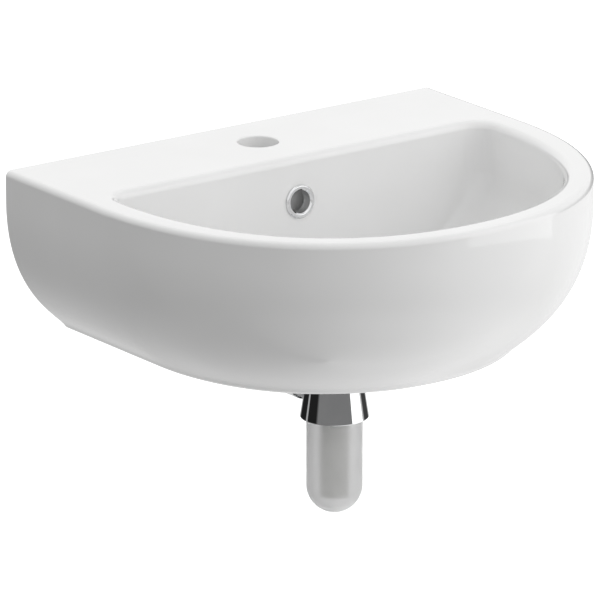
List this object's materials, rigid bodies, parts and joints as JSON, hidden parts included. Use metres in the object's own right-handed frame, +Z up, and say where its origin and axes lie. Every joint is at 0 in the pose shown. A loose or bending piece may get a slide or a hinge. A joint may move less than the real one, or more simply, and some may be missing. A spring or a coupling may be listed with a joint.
{
  "type": "wall hung basin",
  "caption": "Small wall hung hand basin: round-fronted glazed ceramic bowl with a tap ledge, a ringed overflow, a push plug waste and a chrome bottle trap piped to the wall.",
  "frame": {"origin": "on the wall plane, midway between the two fixing bolts, 70 mm below the rim", "axes": "+Z up, +X along the wall to the right when facing the basin, the basin stands out from the wall along -Y, +Y points into the wall"},
  "size_m": [0.4502, 0.4381, 0.3029],
  "materials": {
    "ceramic": "gloss white glaze",
    "chrome": "polished",
    "brass": "turned",
    "frosted_plastic": "frosted, lets light through",
    "white_plastic": "moulded",
    "nylon": "moulded",
    "rubber": "moulded",
    "zinc_steel": "zinc plated"
  },
  "bodies": {
    "basin": {"basin_body": "ceramic", "overflow_ring": "chrome", "waste_body": "chrome", "waste_flange_seal": "rubber", "waste_lower_seal": "rubber", "waste_slip_washer": "white_plastic", "waste_back_nut": "brass", "plug_cartridge": "brass", "trap_inlet_nut": "chrome", "trap_inlet_washer": "rubber", "trap_head": "chrome", "trap_dip_tube": "white_plastic", "trap_outlet_seal": "rubber", "trap_outlet_nut": "chrome", "outlet_pipe": "chrome", "wall_bolt_left": "zinc_steel", "wall_bolt_right": "zinc_steel", "bolt_sleeve_left": "nylon", "bolt_sleeve_right": "nylon", "bolt_washer_left": "zinc_steel", "bolt_washer_right": "zinc_steel", "bolt_nut_left": "zinc_steel", "bolt_nut_right": "zinc_steel"},
    "plug": {"plug_cap": "chrome", "plug_seal": "rubber", "plug_stem": "brass"},
    "cup_ring": {"trap_cup_seal": "rubber"},
    "cup": {"trap_cup": "frosted_plastic"},
    "rose": {"wall_rose": "chrome"}
  },
  "joints": [
    {"name": "plug_lift", "type": "slide", "parent": "basin", "child": "plug", "axis": [0, 0, 1], "range_m": [0, 0.008]},
    {"name": "cup_drop", "type": "slide", "parent": "basin", "child": "cup_ring", "axis": [0, 0, -1], "range_m": [0, 0.012]},
    {"name": "cup_unscrew", "type": "hinge", "parent": "cup_ring", "child": "cup", "pos_m": [0, -0.1637, -0.18], "axis": [0, 0, -1], "range_deg": [0, 1080]},
    {"name": "rose_slide", "type": "slide", "parent": "basin", "child": "rose", "axis": [0, -1, 0], "range_m": [0, 0.075]}
  ],
  "couplings": [
    {"joint": "cup_unscrew", "follows": "cup_drop", "rad_per_m": 1570.8}
  ]
}
